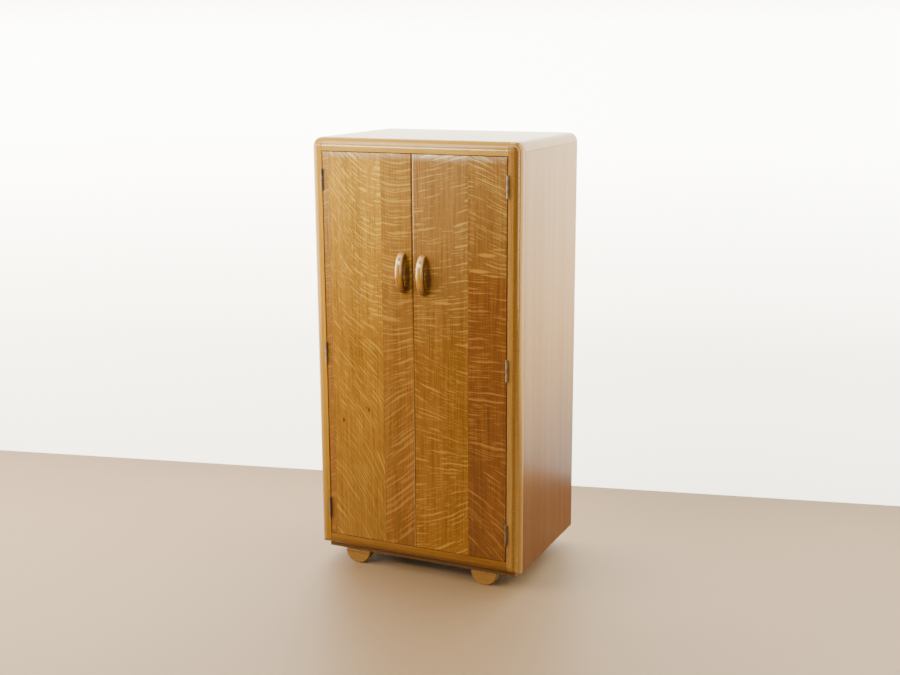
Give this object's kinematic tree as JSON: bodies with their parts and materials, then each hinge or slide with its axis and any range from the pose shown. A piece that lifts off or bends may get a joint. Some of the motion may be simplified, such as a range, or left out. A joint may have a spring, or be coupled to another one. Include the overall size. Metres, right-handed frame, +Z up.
{
  "type": "armoire",
  "caption": "Compact oak wardrobe with rounded edges, inset hinged doors, half-moon pull handles and half-disc feet, with a hat shelf and a hanging rail inside.",
  "frame": {"origin": "on the floor, at the centre of the outline seen from above, handles included", "axes": "+Z up, the doors face -Y, +X to the right when facing the doors"},
  "size_m": [0.66, 0.49, 1.305],
  "materials": {
    "oak_frame": "golden oak, satin-gloss varnish",
    "oak_panel": "golden oak veneer, satin-gloss varnish",
    "oak_door": "quarter-sawn oak veneer with ray flecks, glossy varnish",
    "oak_handle": "carved oak, polished",
    "oak_foot": "oak, worn satin varnish",
    "board_core": "stained wood, thin satin varnish",
    "plywood": "unfinished plywood",
    "hinge_metal": "dulled, brown-grey",
    "brass": "aged satin",
    "steel": "plain"
  },
  "bodies": {
    "carcase": {"stile_left": "oak_frame", "stile_right": "oak_frame", "top_rail": "oak_frame", "bottom_rail": "oak_frame", "base_board": "oak_frame", "side_panel_left": "oak_panel", "side_panel_right": "oak_panel", "top_board": "oak_panel", "bottom_board": "oak_panel", "back_panel": "plywood", "foot_front_left": "oak_foot", "foot_front_right": "oak_foot", "foot_back_left": "oak_foot", "foot_back_right": "oak_foot", "door_stop": "board_core", "hat_shelf": "board_core", "shelf_cleat_left": "board_core", "shelf_cleat_right": "board_core", "hanging_rail": "brass", "rail_socket_left": "brass", "rail_socket_right": "brass", "catch_strike_left": "brass", "catch_strike_right": "brass", "hinge_frame_leaf_left_top": "hinge_metal", "hinge_frame_leaf_left_middle": "hinge_metal", "hinge_frame_leaf_left_bottom": "hinge_metal", "hinge_frame_leaf_right_top": "hinge_metal", "hinge_frame_leaf_right_middle": "hinge_metal", "hinge_frame_leaf_right_bottom": "hinge_metal", "hinge_pin_left_top": "hinge_metal", "hinge_pin_left_middle": "hinge_metal", "hinge_pin_left_bottom": "hinge_metal", "hinge_pin_right_top": "hinge_metal", "hinge_pin_right_middle": "hinge_metal", "hinge_pin_right_bottom": "hinge_metal"},
    "door_left": {"door_core_left": "board_core", "door_facing_left_edge": "oak_door", "door_facing_left_outer": "oak_door", "door_facing_left_inner": "oak_door", "handle_left": "oak_handle", "handle_screw_left_upper": "steel", "handle_screw_left_lower": "steel", "catch_barrel_left": "brass", "catch_spring_left": "steel", "hinge_door_leaf_left_top": "hinge_metal", "hinge_door_leaf_left_middle": "hinge_metal", "hinge_door_leaf_left_bottom": "hinge_metal"},
    "door_right": {"door_core_right": "board_core", "door_facing_right_outer": "oak_door", "door_facing_right_inner": "oak_door", "handle_right": "oak_handle", "handle_screw_right_upper": "steel", "handle_screw_right_lower": "steel", "catch_barrel_right": "brass", "catch_spring_right": "steel", "hinge_door_leaf_right_top": "hinge_metal", "hinge_door_leaf_right_middle": "hinge_metal", "hinge_door_leaf_right_bottom": "hinge_metal"},
    "catch_ball_left": {"catch_ball_left": "steel"},
    "catch_ball_right": {"catch_ball_right": "steel"}
  },
  "joints": [
    {"name": "door_left_hinge", "type": "hinge", "parent": "carcase", "child": "door_left", "pos_m": [-0.29125, -0.2185, 0.668], "axis": [0, 0, -1], "range_deg": [0, 170]},
    {"name": "door_right_hinge", "type": "hinge", "parent": "carcase", "child": "door_right", "pos_m": [0.29125, -0.2185, 0.668], "axis": [0, 0, 1], "range_deg": [0, 170]},
    {"name": "catch_left_ball", "type": "slide", "parent": "door_left", "child": "catch_ball_left", "axis": [0, 0, -1], "range_m": [0, 0.0018], "stiffness_N_per_m": 1500, "springref_m": -0.0005, "deforming": ["catch_spring_left"]},
    {"name": "catch_right_ball", "type": "slide", "parent": "door_right", "child": "catch_ball_right", "axis": [0, 0, -1], "range_m": [0, 0.0018], "stiffness_N_per_m": 1500, "springref_m": -0.0005, "deforming": ["catch_spring_right"]}
  ]
}
